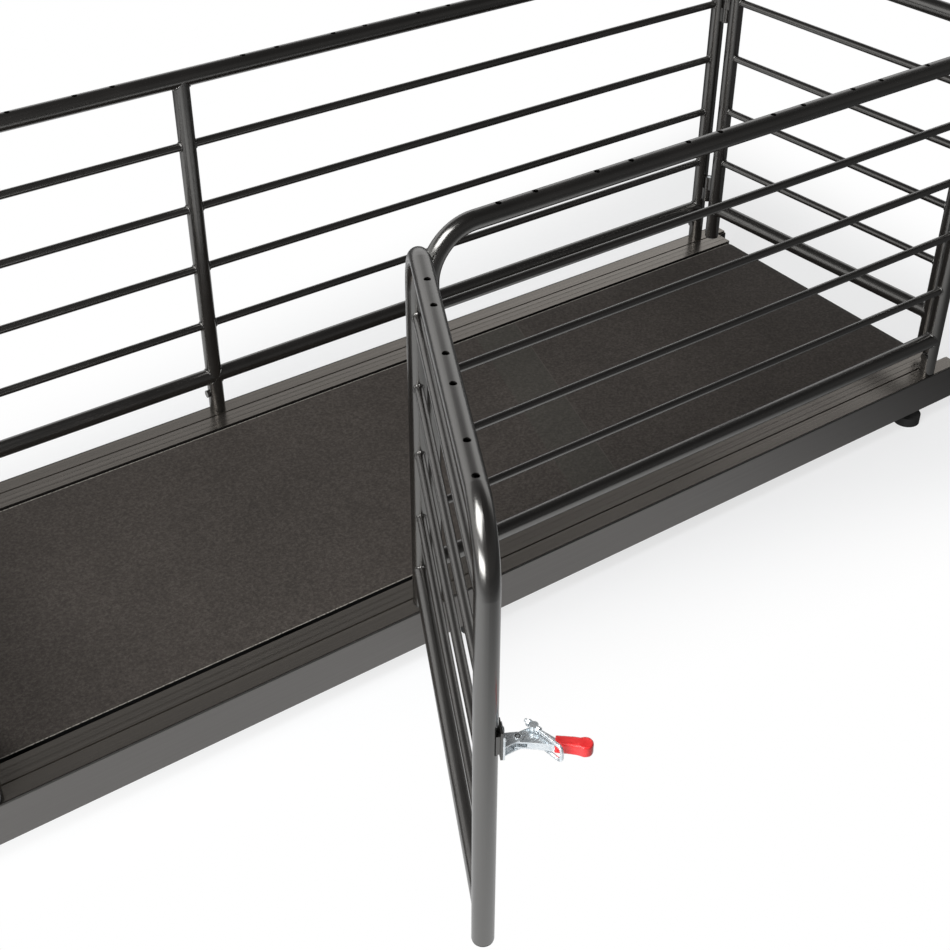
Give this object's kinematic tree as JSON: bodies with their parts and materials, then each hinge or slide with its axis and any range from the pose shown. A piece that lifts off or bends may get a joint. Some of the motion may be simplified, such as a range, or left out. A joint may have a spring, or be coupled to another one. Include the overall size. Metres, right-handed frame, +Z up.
{
  "type": "dog treadmill",
  "caption": "Low motorised belt treadmill for dogs: aluminium side rails, a welded round-tube fence round the belt, and a side gate and an end gate held by toggle latches.",
  "frame": {"origin": "on the floor, under the centre of the deck", "axes": "+X along the deck towards the end gate, +Y towards the long back fence, +Z up"},
  "size_m": [2.0758, 1.1705, 0.6775],
  "materials": {
    "rail_aluminium": "satin black anodised",
    "skirt_aluminium": "satin black anodised",
    "frame_steel": "matt black paint",
    "tube_steel": "satin black powder coat",
    "plastic_black": "fine texture",
    "board_wood": "black film face, waxed",
    "belt_rubber": "fine grained matt",
    "roller_steel": "ground",
    "zinc_steel": "bright zinc plate",
    "grip_vinyl": "dipped red vinyl",
    "foot_rubber": "matt",
    "hood_plastic": "fine texture",
    "panel_plastic": "satin",
    "window_plastic": "gloss",
    "key_red": "satin",
    "key_grey": "satin",
    "heat_sink": "plain",
    "vbelt_rubber": "matt"
  },
  "bodies": {
    "frame": {"side_rail_near": "rail_aluminium", "side_rail_back": "rail_aluminium", "side_skirts": "skirt_aluminium", "frame_beams": "frame_steel", "cross_members": "frame_steel", "rail_end_caps": "plastic_black", "deck_board": "board_wood", "running_belt": "belt_rubber", "roller_axles": "roller_steel", "roller_bearings": "roller_steel", "tension_bolts": "zinc_steel", "drive_belt": "vbelt_rubber", "motor_body": "frame_steel", "motor_tray": "frame_steel", "controller_box": "heat_sink", "motor_hood": "hood_plastic", "control_panel": "panel_plastic", "display_window": "window_plastic", "power_inlet": "plastic_black", "foot_pads": "foot_rubber", "foot_stems": "zinc_steel", "leg_sockets": "frame_steel", "leg_bolts": "tube_steel", "near_fence_frame": "tube_steel", "near_fence_bars": "tube_steel", "back_fence_frame": "tube_steel", "back_fence_post": "tube_steel", "back_fence_bars": "tube_steel", "front_fence_frame": "tube_steel", "front_fence_bars": "tube_steel", "corner_blocks": "tube_steel", "hinge_sockets": "tube_steel", "hinge_pins": "zinc_steel", "latch_keepers": "zinc_steel"},
    "side_gate": {"side_gate_frame": "tube_steel", "side_gate_bars": "tube_steel", "side_gate_plugs": "plastic_black", "side_gate_knuckles": "tube_steel", "side_latch_bracket": "tube_steel", "side_latch_base": "zinc_steel"},
    "side_lever": {"side_latch_lever": "zinc_steel", "side_latch_grip": "grip_vinyl"},
    "side_bow": {"side_latch_bow": "zinc_steel"},
    "end_gate": {"end_gate_frame": "tube_steel", "end_gate_bars": "tube_steel", "end_gate_plugs": "plastic_black", "end_gate_knuckles": "tube_steel", "end_latch_bracket": "tube_steel", "end_latch_base": "zinc_steel"},
    "end_lever": {"end_latch_lever": "zinc_steel", "end_latch_grip": "grip_vinyl"},
    "end_bow": {"end_latch_bow": "zinc_steel"},
    "drive_roller_set": {"drive_roller": "roller_steel", "roller_pulley": "roller_steel"},
    "idler_roller_set": {"idler_roller": "roller_steel"},
    "motor_rotor": {"motor_pulley": "roller_steel"},
    "start_key": {"key_start": "key_red"},
    "plus_key": {"key_plus": "key_grey"},
    "minus_key": {"key_minus": "key_grey"},
    "rocker": {"power_rocker": "key_red"}
  },
  "joints": [
    {"name": "side_gate_swing", "type": "hinge", "parent": "frame", "child": "side_gate", "pos_m": [-0.091, -0.2908, 0.09], "axis": [0, 0, 1], "range_deg": [-63.15, 36.85]},
    {"name": "side_lever_turn", "type": "hinge", "parent": "side_gate", "child": "side_lever", "pos_m": [-0.31682, -0.80774, 0.405], "axis": [0, 0, 1], "range_deg": [0, 105]},
    {"name": "side_bow_turn", "type": "hinge", "parent": "side_lever", "child": "side_bow", "pos_m": [-0.29805, -0.80867, 0.405], "axis": [0, 0, 1], "range_deg": [-139.5, 0.5]},
    {"name": "end_gate_swing", "type": "hinge", "parent": "frame", "child": "end_gate", "pos_m": [0.932, 0.2695, 0.09], "axis": [0, 0, 1], "range_deg": [-4.25, 95.75]},
    {"name": "end_lever_turn", "type": "hinge", "parent": "end_gate", "child": "end_lever", "pos_m": [1.00194, -0.23982, 0.405], "axis": [0, 0, 1], "range_deg": [0, 105]},
    {"name": "end_bow_turn", "type": "hinge", "parent": "end_lever", "child": "end_bow", "pos_m": [1.0185, -0.23092, 0.405], "axis": [0, 0, 1], "range_deg": [-139.5, 0.5]},
    {"name": "drive_roller_spin", "type": "hinge", "parent": "frame", "child": "drive_roller_set", "pos_m": [-0.763, 0, 0.063], "axis": [0, 1, 0], "continuous": true},
    {"name": "idler_roller_spin", "type": "hinge", "parent": "frame", "child": "idler_roller_set", "pos_m": [0.961, 0, 0.063], "axis": [0, 1, 0], "continuous": true},
    {"name": "motor_spin", "type": "hinge", "parent": "frame", "child": "motor_rotor", "pos_m": [-0.885, -0.2, 0.092], "axis": [0, 1, 0], "continuous": true},
    {"name": "power_rocker_tilt", "type": "hinge", "parent": "frame", "child": "rocker", "pos_m": [-0.994, -0.184, 0.0696], "axis": [0, 1, 0], "range_deg": [-16, 0]},
    {"name": "start_key_press", "type": "slide", "parent": "frame", "child": "start_key", "axis": [0, 0, -1], "range_m": [0, 0.002], "stiffness_N_per_m": 400},
    {"name": "minus_key_press", "type": "slide", "parent": "frame", "child": "minus_key", "axis": [0, 0, -1], "range_m": [0, 0.002], "stiffness_N_per_m": 400},
    {"name": "plus_key_press", "type": "slide", "parent": "frame", "child": "plus_key", "axis": [0, 0, -1], "range_m": [0, 0.002], "stiffness_N_per_m": 400}
  ],
  "couplings": [
    {"joint": "side_bow_turn", "follows": "side_lever_turn", "ratio": -1.3238},
    {"joint": "end_bow_turn", "follows": "end_lever_turn", "ratio": -1.3238},
    {"joint": "idler_roller_spin", "follows": "drive_roller_spin", "ratio": 1},
    {"joint": "motor_spin", "follows": "drive_roller_spin", "ratio": 1.7778}
  ]
}
